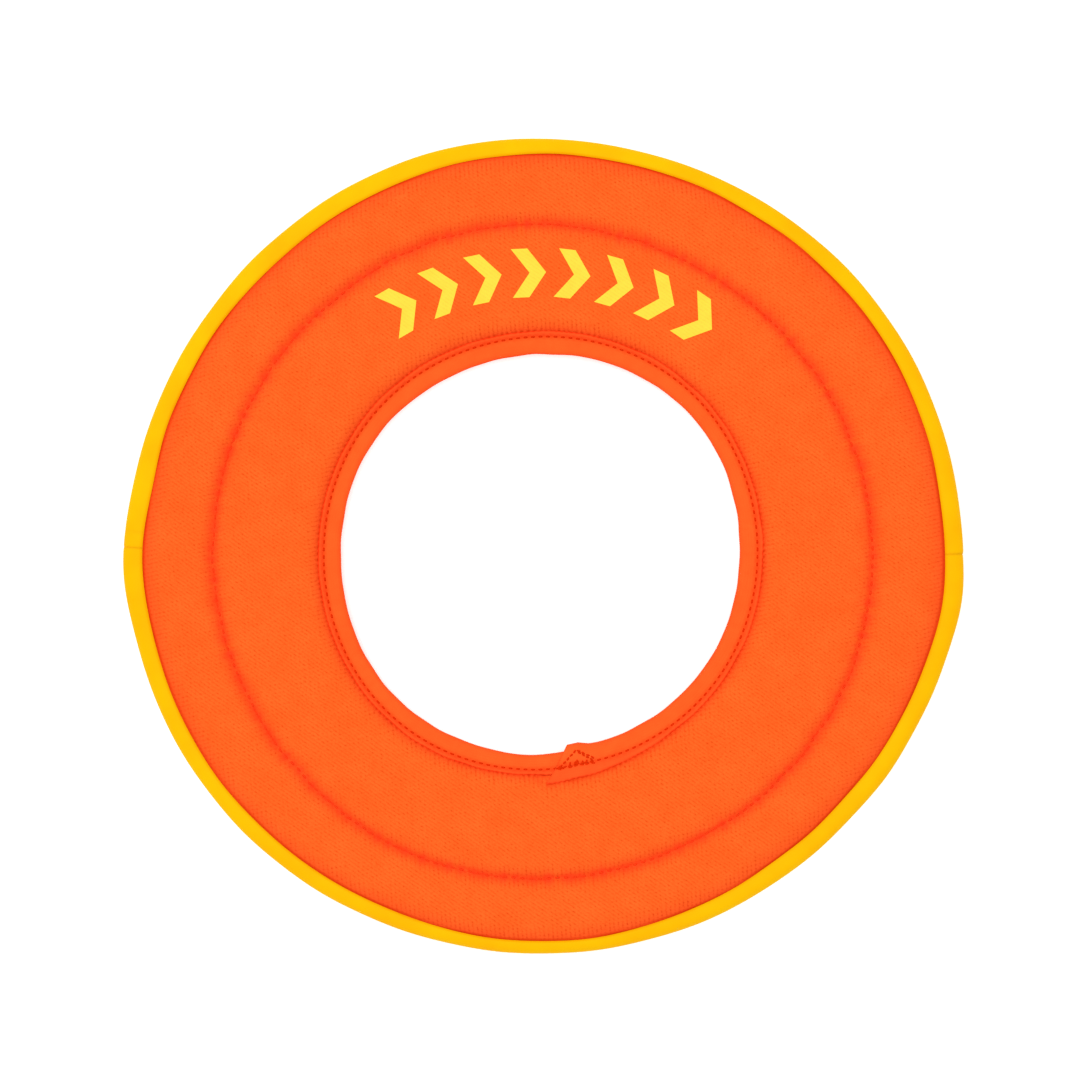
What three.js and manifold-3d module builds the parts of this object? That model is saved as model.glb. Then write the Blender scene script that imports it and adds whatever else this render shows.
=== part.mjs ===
// A soft flying ring: a closed-cell foam ring between two fabric covers, quilted once round its
// middle, with a moulded edging in two halves round the rim and a folded fabric tape round the hole.
// Millimetres, +Z up. The ring lies flat on z = 0, and its outline is centred on the Z axis.

import * as THREE from "three";
import { mergeVertices } from "three/addons/utils/BufferGeometryUtils.js";
import Module from "manifold-3d";

const wasm = await Module();
wasm.setup();

const degrees = THREE.MathUtils.degToRad;

// --- Driving dimensions, seen from above -------------------------------------------------------

const RIM_RADIUS = 139.8; // mean outer radius, to the tip of the edging
const EDGING_WIDTH = 5.4; // how far the edging reaches in over the covers
const EDGING_JOINS = [degrees(-0.9), degrees(180)]; // where the two halves of the edging meet
const QUILT_RADIUS = 111.4; // the seam that quilts the pad into an inner and an outer band
const HOLE_RADIUS = 68.2; // to the folded edge of the tape
const TAPE_WIDTH = 7.5; // how far the tape reaches out from the hole's edge
const TAPE_SEAM_INSET = 5.6; // from the hole's edge to the stitching on the tape

// The ring is cut and sewn by hand, so its lines aren't true circles. Each line has its own centre
// and a few low waves, and the rim also has a bulge near each join of the edging.
const wave = (lobes, height, crest) => ({ lobes, height, crest: degrees(crest) });
const bulge = (angle, height, spread) => ({ angle: degrees(angle), height, spread: degrees(spread) });
const RIM_LINE = {
  centre: [0.1, -0.4],
  waves: [wave(2, 1.6, 8), wave(3, 0.5, -17), wave(4, 0.4, 11)],
  bulges: [bulge(-7, 1.3, 8), bulge(183, 1.5, 8)],
};
const QUILT_LINE = { centre: [-0.4, -2.3], waves: [wave(2, 0.5, -15), wave(3, 0.5, -11)], bulges: [] };
const HOLE_LINE = { centre: [-1.1, -2.5], waves: [wave(2, 0.7, 44), wave(4, 0.4, -38)], bulges: [] };

// --- Driving dimensions, through the thickness -------------------------------------------------

const THICKNESS = 10.6; // over the flat of the pad, covers included
const COVER_THICKNESS = 0.8;
const TAPE_THICKNESS = 0.7;
const EDGING_THICKNESS = 1.2;
const GAP = 0.3; // clearance between neighbouring pieces

// Heights of the covers' outer faces above the mid-plane.
const PAD_HALF = THICKNESS / 2;
const SEAM_HALF = GAP / 2 + COVER_THICKNESS; // at the raw edges, where the covers lie together
const QUILT_HALF = 2.6; // in the valley of the quilting seam
const DITCH_HALF = 1.7; // in the ditch, where they go in under the edging
const TAPE_HALF = SEAM_HALF + GAP + TAPE_THICKNESS; // the tape's outer face above the mid-plane
const EDGING_HALF = DITCH_HALF + GAP + EDGING_THICKNESS; // the same, of the edging
const EDGING_NOSE = 4.2; // length of the rounded part of the edging

const INNER_SHOULDER = 4.6; // width of the pad's slopes: beside the tape,
const QUILT_SHOULDER = 4.5; // each side of the quilting seam,
const OUTER_SHOULDER = 7; // and beside the edging
const SHOULDER_FULLNESS = 2.2; // 1 is a straight slope, more is a rounder pad
const SHOULDER_SHARES = [0, 0.36, 1]; // where along a slope its section has a point
const VALLEY_FLAT = 1.2; // width of the flat at the bottom of the valley
const RIM_FLAT = 2; // width of the covers' flat edge, which the edging's seam runs through

const TAPE_EDGE = HOLE_RADIUS + TAPE_WIDTH;
const EDGING_EDGE = RIM_RADIUS - EDGING_WIDTH;
const COVER_INNER = HOLE_RADIUS + 2.2; // the covers' raw edges, inside the tape's fold
const COVER_OUTER = RIM_RADIUS - 2.4; // and inside the edging
const DITCH_RADIUS = EDGING_EDGE - GAP;

// --- Thread, lap and print ---------------------------------------------------------------------

const THREAD_WIDTH = 0.7;
const THREAD_HEIGHT = 0.45;
const FILM_GAP = 0.05; // between a flat face and the thread or print that lies on it
const LAP_START = degrees(274.5); // where the tape's end laps over its beginning
const LAP_END = degrees(291);
const LAP_REACH = 1.3; // how far the lapped end stands into the hole
const TACK_WIDTH = 12; // the triangle of tacking stitches that holds the lap down
const TACK_HEIGHT = 4.4;
const TACK_RADIUS = HOLE_RADIUS + 6; // to the base of that triangle
const TACK_ANGLE = degrees(280.5);
const TACK_OPENING = 0.6; // size of the opening in the triangle, compared with the triangle
const MARK_COUNT = 8; // chevrons printed on the inner band
const MARK_PITCH = degrees(9.1);
const MARK_MIDDLE = degrees(88);
const MARK_RADIUS = 95; // to the middle of a chevron
const MARK_HEIGHT = 16.5;
const MARK_STROKE = 5.6; // along the row
const MARK_POINT = 6; // how far a chevron's point leads its ends
const MARK_THICKNESS = 0.2;

const RING_STEPS = 54;
const ORIGIN = new THREE.Vector2(0, 0);

const MATERIALS = {
  cover: new THREE.MeshStandardMaterial({ color: 0xff6725, roughness: 0.85, metalness: 0 }),
  foam: new THREE.MeshStandardMaterial({ color: 0xe9e6dd, roughness: 0.9, metalness: 0 }),
  edging: new THREE.MeshStandardMaterial({ color: 0xffc408, roughness: 0.5, metalness: 0 }),
  tape: new THREE.MeshStandardMaterial({ color: 0xff6a28, roughness: 0.8, metalness: 0 }),
  thread: new THREE.MeshStandardMaterial({ color: 0xe0451b, roughness: 0.7, metalness: 0 }),
  print: new THREE.MeshStandardMaterial({ color: 0xffe832, roughness: 0.45, metalness: 0 }),
};

// --- Plan ----------------------------------------------------------------------------------------

// How far round one angle is from another, at most half a turn either way.
const apart = (a, b) => THREE.MathUtils.euclideanModulo(a - b + Math.PI, 2 * Math.PI) - Math.PI;

const sum = (numbers) => numbers.reduce((total, number) => total + number, 0);

// How far a line stands out from its circle at an angle.
function swell(line, angle) {
  const waves = line.waves.map((w) => w.height * Math.cos(w.lobes * (angle - w.crest)));
  const bulges = line.bulges.map((b) => b.height * Math.exp(-((apart(angle, b.angle) / b.spread) ** 2)));
  return sum(waves) + sum(bulges);
}

// Where a circle of this radius goes in plan when it is bent to follow a line.
function bent(line, radius, angle) {
  const reach = radius + swell(line, angle);
  return new THREE.Vector2(reach, 0).rotateAround(ORIGIN, angle).add(new THREE.Vector2(...line.centre));
}

// The plan position of a nominal radius and angle. It follows the quilting's line, and blends from
// there to the rim's line outwards and to the hole's line inwards.
function place(radius, angle) {
  const line = radius > QUILT_RADIUS ? RIM_LINE : HOLE_LINE;
  const end = radius > QUILT_RADIUS ? RIM_RADIUS : HOLE_RADIUS;
  const share = THREE.MathUtils.clamp((radius - QUILT_RADIUS) / (end - QUILT_RADIUS), 0, 1);
  return bent(QUILT_LINE, radius, angle).lerp(bent(line, radius, angle), share);
}

// --- Section -------------------------------------------------------------------------------------
// A section's x is nominal radius, and its y is height above the mid-plane.

const point = (radius, height) => new THREE.Vector2(radius, height);
const raised = (line, rise) => line.map((p) => point(p.x, p.y + rise));
const mirrored = (line) => line.map((p) => point(p.x, -p.y));
const between = (lineA, lineB) => [...lineA, ...lineB.toReversed()];

// A rounded slope that climbs from low, at the radius from, to high, at the radius to.
function shoulder(from, to, low, high) {
  return SHOULDER_SHARES.map((share) => {
    const climbed = 1 - (1 - share) ** SHOULDER_FULLNESS;
    return point(THREE.MathUtils.lerp(from, to, share), THREE.MathUtils.lerp(low, high, climbed));
  });
}

// The top cover's outer face, from its raw edge at the hole to its raw edge at the rim.
function skinLine() {
  const slopeStart = TAPE_EDGE + GAP;
  const valleyStart = QUILT_RADIUS - VALLEY_FLAT / 2;
  const valleyEnd = QUILT_RADIUS + VALLEY_FLAT / 2;
  return [
    point(COVER_INNER, SEAM_HALF),
    ...shoulder(slopeStart, slopeStart + INNER_SHOULDER, SEAM_HALF, PAD_HALF),
    ...shoulder(valleyStart, valleyStart - QUILT_SHOULDER, QUILT_HALF, PAD_HALF).toReversed(),
    ...shoulder(valleyEnd, valleyEnd + QUILT_SHOULDER, QUILT_HALF, PAD_HALF),
    ...shoulder(DITCH_RADIUS, DITCH_RADIUS - OUTER_SHOULDER, DITCH_HALF, PAD_HALF).toReversed(),
    point(COVER_OUTER - RIM_FLAT, SEAM_HALF),
    point(COVER_OUTER, SEAM_HALF),
  ];
}

// The foam's upper face: it follows the cover's inner face wherever there is room between them.
function foamLine() {
  return raised(skinLine(), -COVER_THICKNESS - GAP).filter((p) => p.y > 0);
}

// A round-nosed outline from the edge, over the nose at the tip, and back below the mid-plane.
function noseLine(tip, edge, half, nose) {
  const inwards = Math.sign(edge - tip);
  const above = [0, 0.5, 1].map((share) => {
    const turn = (1 - share) * (Math.PI / 2);
    return point(tip + inwards * nose * (1 - Math.cos(turn)), half * Math.sin(turn));
  });
  const upper = [point(edge, half), ...above];
  return between(upper, mirrored(upper.slice(0, -1)));
}

// A strip folded over an edge: its outer outline less the slot inside it.
function foldedStrip(tip, edge, half, nose, wall) {
  const inwards = Math.sign(edge - tip);
  const slot = noseLine(tip + inwards * wall, edge, half - wall, nose - wall);
  return between(noseLine(tip, edge, half, nose), slot);
}

// A thread that lies on a flat face at a nominal radius and height, on the outside of the ring.
function threadLine(radius, height) {
  const line = (width, y) => [point(radius - width / 2, y), point(radius + width / 2, y)];
  const section = between(line(THREAD_WIDTH, 0), line(THREAD_WIDTH / 2, THREAD_HEIGHT));
  return raised(section, height + FILM_GAP);
}

// --- Solids --------------------------------------------------------------------------------------

// Puts a geometry in place whose x is nominal radius, y height above the mid-plane and z angle.
function wrapped(geometry) {
  const position = geometry.attributes.position;
  for (let i = 0; i < position.count; i++) {
    const plan = place(position.getX(i), position.getZ(i));
    position.setXYZ(i, plan.x, plan.y, position.getY(i) + PAD_HALF);
  }
  return flatShaded(geometry);
}

function flatShaded(geometry) {
  const faces = geometry.index ? geometry.toNonIndexed() : geometry;
  faces.computeVertexNormals();
  return faces;
}

// A section carried all the way round. It runs anticlockwise, so that its faces point out.
function ring(section) {
  const outline = THREE.ShapeUtils.isClockWise(section) ? section.toReversed() : section;
  const lathe = new THREE.LatheGeometry([...outline, outline[0]], RING_STEPS);
  const position = lathe.attributes.position;
  for (let i = 0; i < position.count; i++) {
    const radius = Math.hypot(position.getX(i), position.getZ(i));
    const angle = Math.atan2(-position.getZ(i), position.getX(i));
    position.setXYZ(i, radius, position.getY(i), angle);
  }
  return wrapped(lathe);
}

// A section carried from one angle to another, swept backwards so that its faces point out.
function arc(section, from, to) {
  const steps = Math.round((RING_STEPS * (to - from)) / (2 * Math.PI));
  const shape = new THREE.Shape(section);
  const bar = new THREE.ExtrudeGeometry(shape, { depth: 1, steps, bevelEnabled: false });
  const position = bar.attributes.position;
  for (let i = 0; i < position.count; i++) {
    position.setZ(i, THREE.MathUtils.lerp(to, from, position.getZ(i)));
  }
  return wrapped(bar);
}

function solid(geometry) {
  const bare = geometry.clone().deleteAttribute("normal");
  bare.deleteAttribute("uv");
  const merged = mergeVertices(bare, 1e-3);
  const vertProperties = merged.attributes.position.array;
  const triVerts = new Uint32Array(merged.index.array);
  return new wasm.Manifold(new wasm.Mesh({ numProp: 3, vertProperties, triVerts }));
}

function fromSolid(manifold) {
  const mesh = manifold.getMesh();
  const geometry = new THREE.BufferGeometry();
  geometry.setAttribute("position", new THREE.BufferAttribute(mesh.vertProperties, 3));
  geometry.setIndex(new THREE.BufferAttribute(mesh.triVerts, 1));
  return flatShaded(geometry);
}

// --- Sub-parts -----------------------------------------------------------------------------------

function foamCore() {
  const upper = foamLine();
  return ring(between(upper, mirrored(upper)));
}

function cover(side) {
  const outer = skinLine();
  const section = between(outer, raised(outer, -COVER_THICKNESS));
  return ring(side > 0 ? section : mirrored(section));
}

// Half of the rim's edging. A small gap at each end leaves it clear of the other half.
function edgingHalf(from, to) {
  const section = foldedStrip(RIM_RADIUS, EDGING_EDGE, EDGING_HALF, EDGING_NOSE, EDGING_THICKNESS);
  const clear = GAP / 2 / RIM_RADIUS;
  return arc(section, from + clear, to - clear);
}

// The tape round the hole, with one end lapped over the other. The lap is a thicker stretch that
// stands further into the hole, and the slot for the covers' edges runs through it.
function holeTape() {
  const tape = ring(foldedStrip(HOLE_RADIUS, TAPE_EDGE, TAPE_HALF, TAPE_HALF, TAPE_THICKNESS));
  const lapHalf = TAPE_HALF + TAPE_THICKNESS;
  const lap = arc(noseLine(HOLE_RADIUS - LAP_REACH, TAPE_EDGE, lapHalf, lapHalf), LAP_START, LAP_END);
  const slotHalf = TAPE_HALF - TAPE_THICKNESS;
  const slot = ring(noseLine(HOLE_RADIUS + TAPE_THICKNESS, TAPE_EDGE + 1, slotHalf, slotHalf));
  return fromSolid(solid(tape).add(solid(lap)).subtract(solid(slot)));
}

// A seam's thread on one face of the ring. It goes all the way round unless stops are given.
function seamThread({ radius, height, stops }, side) {
  const upper = threadLine(radius, height);
  const section = side > 0 ? upper : mirrored(upper);
  return stops ? arc(section, ...stops) : ring(section);
}

// Tacking stitches through the lap: a triangle with its point towards the hole, along -x.
function tackTriangle() {
  const corners = [point(0, -TACK_WIDTH / 2), point(0, TACK_WIDTH / 2), point(-TACK_HEIGHT, 0)];
  const middle = point(-TACK_HEIGHT / 3, 0);
  const shape = new THREE.Shape(corners);
  const opening = corners.map((p) => p.clone().lerp(middle, 1 - TACK_OPENING));
  shape.holes.push(new THREE.Path(opening));
  return new THREE.ExtrudeGeometry(shape, { depth: THREAD_HEIGHT, bevelEnabled: false });
}

// A chevron with its row along x, pointing clockwise round the ring when it is turned into place.
function chevron() {
  const edge = [
    point(-MARK_POINT / 2, -MARK_HEIGHT / 2),
    point(MARK_POINT / 2, 0),
    point(-MARK_POINT / 2, MARK_HEIGHT / 2),
  ];
  const shifted = (line, shift) => line.map((p) => point(p.x + shift, p.y));
  const outline = between(shifted(edge, MARK_STROKE / 2), shifted(edge, -MARK_STROKE / 2));
  const shape = new THREE.Shape(outline);
  return new THREE.ExtrudeGeometry(shape, { depth: MARK_THICKNESS, bevelEnabled: false });
}

// --- Assembly ------------------------------------------------------------------------------------

const ringAssembly = new THREE.Group();

function add(name, geometry, material) {
  const mesh = new THREE.Mesh(geometry, material);
  mesh.name = name;
  ringAssembly.add(mesh);
  return mesh;
}

add("foam_core", foamCore(), MATERIALS.foam);
add("top_cover", cover(1), MATERIALS.cover);
add("bottom_cover", cover(-1), MATERIALS.cover);
const [rightJoin, leftJoin] = EDGING_JOINS;
add("rim_edging_print_half", edgingHalf(rightJoin, leftJoin), MATERIALS.edging);
add("rim_edging_plain_half", edgingHalf(leftJoin, rightJoin + 2 * Math.PI), MATERIALS.edging);
add("hole_tape", holeTape(), MATERIALS.tape);

// The hole's seam stops at the lap, which the tacking stitches hold.
const lapClear = GAP / HOLE_RADIUS;
const aroundLap = [LAP_END + lapClear, LAP_START + 2 * Math.PI - lapClear];
const SEAMS = {
  hole_seam: { radius: HOLE_RADIUS + TAPE_SEAM_INSET, height: TAPE_HALF, stops: aroundLap },
  quilt_seam: { radius: QUILT_RADIUS, height: QUILT_HALF },
  rim_seam: { radius: COVER_OUTER - RIM_FLAT / 2, height: SEAM_HALF },
};
for (const [name, seam] of Object.entries(SEAMS)) {
  add(`${name}_needle_thread`, seamThread(seam, 1), MATERIALS.thread);
  add(`${name}_bobbin_thread`, seamThread(seam, -1), MATERIALS.thread);
}

const tack = add("tape_tack_thread", tackTriangle(), MATERIALS.thread);
const tackPlan = place(TACK_RADIUS, TACK_ANGLE);
tack.position.set(tackPlan.x, tackPlan.y, PAD_HALF + TAPE_HALF + TAPE_THICKNESS + FILM_GAP);
tack.rotation.z = TACK_ANGLE;

for (let i = 0; i < MARK_COUNT; i++) {
  const angle = MARK_MIDDLE + MARK_PITCH * ((MARK_COUNT - 1) / 2 - i);
  const plan = place(MARK_RADIUS, angle);
  const mark = add(`print_chevron_${i + 1}`, chevron(), MATERIALS.print);
  mark.position.set(plan.x, plan.y, THICKNESS + FILM_GAP);
  mark.rotation.z = angle - Math.PI / 2;
}

// The Z axis goes through the middle of the outline's box.
const middle = new THREE.Box3().setFromObject(ringAssembly).getCenter(new THREE.Vector3());
ringAssembly.position.set(-middle.x, -middle.y, 0);

export default ringAssembly;
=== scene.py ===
"""A soft flying ring: the looks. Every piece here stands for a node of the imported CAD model.

Shapes are worked out in millimetres as grids of points over angle, nominal radius and height above
the ring's mid-plane, and each grid becomes a mesh in metres in the CAD model's own frame.
"""

import math
from collections import namedtuple

import bpy
import numpy as np
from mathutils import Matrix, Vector
from mathutils.bvhtree import BVHTree


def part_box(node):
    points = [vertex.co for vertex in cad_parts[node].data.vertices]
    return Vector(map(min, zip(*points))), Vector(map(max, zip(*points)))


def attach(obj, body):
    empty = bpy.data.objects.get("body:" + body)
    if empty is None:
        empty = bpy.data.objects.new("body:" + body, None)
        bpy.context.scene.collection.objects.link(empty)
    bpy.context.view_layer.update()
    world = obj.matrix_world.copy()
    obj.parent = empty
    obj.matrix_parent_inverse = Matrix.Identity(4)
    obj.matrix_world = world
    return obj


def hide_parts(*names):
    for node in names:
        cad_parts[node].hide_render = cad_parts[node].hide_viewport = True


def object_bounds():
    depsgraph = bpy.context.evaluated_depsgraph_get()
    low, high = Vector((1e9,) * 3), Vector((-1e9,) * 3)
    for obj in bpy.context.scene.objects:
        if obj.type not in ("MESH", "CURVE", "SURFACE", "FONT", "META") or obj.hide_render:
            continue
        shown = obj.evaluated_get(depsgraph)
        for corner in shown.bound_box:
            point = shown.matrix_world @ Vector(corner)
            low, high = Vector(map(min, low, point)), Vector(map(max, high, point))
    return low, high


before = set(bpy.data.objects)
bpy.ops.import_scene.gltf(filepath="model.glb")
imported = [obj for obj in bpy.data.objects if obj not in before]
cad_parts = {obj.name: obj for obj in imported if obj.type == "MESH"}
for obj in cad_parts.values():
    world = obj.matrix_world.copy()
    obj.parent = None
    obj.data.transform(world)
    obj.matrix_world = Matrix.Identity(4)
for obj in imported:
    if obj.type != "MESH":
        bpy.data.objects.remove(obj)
CAD_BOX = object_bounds()

MM = 0.001
TURN = 2 * math.pi

# --- Plan lines, the same as in the CAD model --------------------------------------------------------
# Each line has its own centre, waves as (lobes, height, degrees of a crest), and bulges as (degrees,
# height, spread in degrees).

Line = namedtuple("Line", "centre waves bulges", defaults=[()])
RIM_LINE = Line((0.1, -0.4), ((2, 1.6, 8), (3, 0.5, -17), (4, 0.4, 11)), ((-7, 1.3, 8), (183, 1.5, 8)))
QUILT_LINE = Line((-0.4, -2.3), ((2, 0.5, -15), (3, 0.5, -11)))
HOLE_LINE = Line((-1.1, -2.5), ((2, 0.7, 44), (4, 0.4, -38)))


def apart(a, b):
    """How far round one angle is from another, at most half a turn either way."""
    return (a - b + math.pi) % TURN - math.pi


def swell(line, angle):
    """How far a line stands out from its circle at an angle."""
    waves = [h * np.cos(lobes * (angle - math.radians(crest))) for lobes, h, crest in line.waves]
    bulges = [
        h * np.exp(-((apart(angle, math.radians(at)) / math.radians(spread)) ** 2))
        for at, h, spread in line.bulges
    ]
    return sum(waves) + sum(bulges)


def bent(line, radius, angle):
    reach = radius + swell(line, angle)
    return line.centre[0] + reach * np.cos(angle), line.centre[1] + reach * np.sin(angle)


# --- Dimensions that come from the frame, in millimetres ---------------------------------------------


def box_mm(node):
    low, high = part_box(node)
    return np.array(low) / MM, np.array(high) / MM


def mean_radius(node, centre):
    """Mean distance in plan of a ring-shaped node's corners from a centre."""
    corners = [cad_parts[node].matrix_world @ v.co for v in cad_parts[node].data.vertices]
    return float(np.mean([math.hypot(c.x / MM - centre[0], c.y / MM - centre[1]) for c in corners]))


BASE = float(box_mm("bottom_cover")[0][2])
PAD_HALF = (float(box_mm("top_cover")[1][2]) - BASE) / 2
MIDDLE = BASE + PAD_HALF
FILM_GAP = 0.05  # between the CAD model's faces and the threads that lie on them
QUILT_HALF = float(box_mm("quilt_seam_needle_thread")[0][2]) - MIDDLE - FILM_GAP
SEAM_HALF = float(box_mm("rim_seam_needle_thread")[0][2]) - MIDDLE - FILM_GAP
TAPE_HALF = float(box_mm("hole_seam_needle_thread")[0][2]) - MIDDLE - FILM_GAP
EDGING_HALF = float(box_mm("rim_edging_print_half")[1][2]) - MIDDLE

BOX_LOW, BOX_HIGH = (np.array(corner) / MM for corner in CAD_BOX)
RIM_RADIUS = float(BOX_HIGH[0] - BOX_LOW[0] - swell(RIM_LINE, 0) - swell(RIM_LINE, math.pi)) / 2
QUILT_RADIUS = mean_radius("quilt_seam_needle_thread", QUILT_LINE.centre)
TAPE_SEAM_RADIUS = mean_radius("hole_seam_needle_thread", HOLE_LINE.centre)
RIM_SEAM_RADIUS = mean_radius("rim_seam_needle_thread", RIM_LINE.centre)
RIM_X, RIM_Y = bent(RIM_LINE, RIM_RADIUS, np.linspace(0, TURN, 720))
SHIFT = (BOX_LOW + BOX_HIGH)[:2] / 2 - [(RIM_X.min() + RIM_X.max()) / 2, (RIM_Y.min() + RIM_Y.max()) / 2]

# --- Dimensions of the sewing, in millimetres --------------------------------------------------------

TAPE_WIDTH = 7.5
TAPE_SEAM_INSET = 5.6
HOLE_RADIUS = TAPE_SEAM_RADIUS - TAPE_SEAM_INSET
TAPE_EDGE = HOLE_RADIUS + TAPE_WIDTH
TAPE_THICKNESS = 0.7
TAPE_CLIMB = 0.8  # how much its outer edge climbs from the seam, up the side of the pad
EDGING_WIDTH = 6.0
EDGING_EDGE = RIM_RADIUS - EDGING_WIDTH
EDGING_THICKNESS = 1.2
EDGING_NOSE = 4.2  # how far the fold's rounding reaches in from the rim
EDGING_JOINS = (math.radians(-0.9), math.pi)
EDGING_LAP = 5.4  # from the left join to the line where one half ends over the other
COVER_THICKNESS = 0.8
COVER_INNER = HOLE_RADIUS + 2.2
COVER_OUTER = RIM_RADIUS - 2.4
COVER_RISE = 0.15  # how far the top cover may puff up past the CAD model's face
CAP_SOFTNESS = 0.06  # of the bend with which a cover stays below that
FOAM_GAP = 0.3
THINNEST_FOAM = 0.8

# How the edges and the quilting wander, in rows for waves(): times round, size, degrees of a crest.
EDGING_WIDTH_WAVES = (
    (1, 0.22, -125),
    (2, 0.57, -31),
    (3, 0.20, -24),
    (4, 0.25, 42),
    (5, 0.17, 22),
    (6, 0.26, 6),
)
EDGING_TIP_WAVES = ((4, 0.07, -39), (5, 0.12, -28), (6, 0.15, -12))
TAPE_TIP_WAVES = ((1, 0.06, -58), (2, 0.06, 13), (3, 0.14, 28), (6, 0.13, -29))
QUILT_SEAM_WAVES = ((4, 0.25, -3), (5, 0.26, 32))
QUILT_SEAM_INSET = 0.3  # how far inside the CAD model's seam it runs

# The slopes of the covers beside each seam, and how they go in under the tape and the edging.
INNER_SHOULDER = 5.4
QUILT_SHOULDER = 4.7
OUTER_SHOULDER = 7.0
SHOULDER_FULLNESS = 2.2
VALLEY_FLAT = 0.3
SLOPE_TUCK = 0.35  # how far under the tape and the edging their slopes begin
TAPE_DIP_START = 0.5  # in from the tape's edge, where they begin to go down to the seam's level
TAPE_DIP_END = 2  # in from where its edge would be without the lap, where they are down
EDGING_DIP_START = 0.6  # the same, out from the edging's edge
EDGING_DIP_END = 1.8

STITCH = 2.55
QUILT_STITCH = 3.0
TAPE_STITCHES = round(TURN * TAPE_SEAM_RADIUS / STITCH)
QUILT_STITCHES = round(TURN * QUILT_RADIUS / QUILT_STITCH)
RIM_STITCHES = round(TURN * RIM_SEAM_RADIUS / QUILT_STITCH)

# The tape's end, which laps over its beginning.
LAP_CORNER = math.radians(271.3)  # the outer corner of the end
LAP_FOLD = math.radians(278)  # the same end at the hole's edge, because it is folded back aslant
LAP_TAIL = math.radians(286)  # how far the beginning runs on under the end
LAP_BEFORE = math.radians(3)  # how far before the corner the cover begins to give way
LAP_TAPER = math.radians(38)  # past which it is as narrow as the rest of the tape
LAP_LEVELS = (math.radians(16), math.radians(30))  # between which it comes down to the rest of the tape
LAP_REACH_TAPER = math.radians(20)  # past which it no longer stands into the hole
LAP_REACH = 2.1  # how far the lapped end stands into the hole
LAP_SPREAD = 3.0  # and out over the cover
LAP_LIFT = 0.78  # and up, over the layer beneath
LAP_CLIMB = 0.4  # how much more its outer edge climbs
LAP_SEAM_SHARE = 0.4  # how much of its reach into the hole the seam follows


def place(radius, angle):
    """Plan position of nominal radii and angles. It follows the quilting's line, and blends from there
    to the rim's line outwards and to the hole's line inwards, as in the CAD model."""
    rim = np.clip((radius - QUILT_RADIUS) / (RIM_RADIUS - QUILT_RADIUS), 0, 1)
    hole = np.clip((QUILT_RADIUS - radius) / (QUILT_RADIUS - HOLE_RADIUS), 0, 1)
    lines = [bent(line, radius, angle) for line in (RIM_LINE, HOLE_LINE, QUILT_LINE)]
    shares = (rim, hole, 1 - rim - hole)
    x = sum(share * line[0] for share, line in zip(shares, lines))
    y = sum(share * line[1] for share, line in zip(shares, lines))
    return x + SHIFT[0], y + SHIFT[1]


def wobble(angle, slowest, fastest, size, seed):
    """A smooth irregular curve round the ring, about size high. Its waves go round from slowest to
    fastest times a turn."""
    rng = np.random.default_rng(seed)
    counts = np.arange(slowest, fastest + 1)
    phases = rng.uniform(0, TURN, len(counts))
    weights = rng.normal(0, 1, len(counts)) * np.sqrt(2 / len(counts))
    flat = np.ravel(angle)
    total = np.zeros(flat.shape)
    for count, phase, weight in zip(counts, phases, weights):
        total += weight * np.cos(count * flat + phase)
    return size * total.reshape(np.shape(angle))


def waves(angle, rows):
    """The sum of cosines round the ring. A row is (times round, size, degrees of a crest)."""
    return sum(size * np.cos(count * (angle - math.radians(crest))) for count, size, crest in rows)


def bump(value, middle, spread):
    """A bell of height 1 round middle."""
    return np.exp(-(((value - middle) / spread) ** 2))


def bells(value, rows):
    """The sum of bells. A row is (height, middle, spread)."""
    return sum(height * bump(value, middle, spread) for height, middle, spread in rows)


def ease(value, start, end):
    """0 before start, 1 after end, and smooth between."""
    share = np.clip((value - start) / (end - start), 0, 1)
    return share * share * (3 - 2 * share)


def soft_limit(height, limit, softness):
    """height, bent over so that it never passes limit."""
    return limit - softness * np.logaddexp(0, (limit - height) / softness)


# --- Meshes ------------------------------------------------------------------------------------------


def grid_quads(rows, cols, round_rows, round_cols):
    i = np.arange(rows if round_rows else rows - 1)[:, None]
    j = np.arange(cols if round_cols else cols - 1)[None, :]
    i2, j2 = (i + 1) % rows, (j + 1) % cols
    return np.stack([i * cols + j, i * cols + j2, i2 * cols + j2, i2 * cols + j], -1).reshape(-1, 4)


def quad_mesh(name, points, quads, material, values=None, crease=60):
    """A smooth-shaded mesh object from points in millimetres, with a float attribute per entry of
    values. Edges that turn by more than crease degrees are sharp."""
    mesh = bpy.data.meshes.new(name)
    mesh.vertices.add(len(points))
    mesh.vertices.foreach_set("co", (np.asarray(points, float) * MM).ravel())
    mesh.loops.add(quads.size)
    mesh.loops.foreach_set("vertex_index", quads.ravel().astype(np.int32))
    mesh.polygons.add(len(quads))
    mesh.polygons.foreach_set("loop_start", np.arange(0, quads.size, 4, dtype=np.int32))
    mesh.polygons.foreach_set("loop_total", np.full(len(quads), 4, dtype=np.int32))
    mesh.polygons.foreach_set("use_smooth", np.ones(len(quads), dtype=bool))
    for key, numbers in (values or {}).items():
        layer = mesh.attributes.new(key, "FLOAT", "POINT")
        layer.data.foreach_set("value", np.ravel(numbers).astype(np.float32))
    mesh.update()
    mesh.validate()
    mesh.set_sharp_from_angle(angle=math.radians(crease))
    if material:
        mesh.materials.append(material)
    obj = bpy.data.objects.new(name, mesh)
    bpy.context.scene.collection.objects.link(obj)
    return obj


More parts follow.
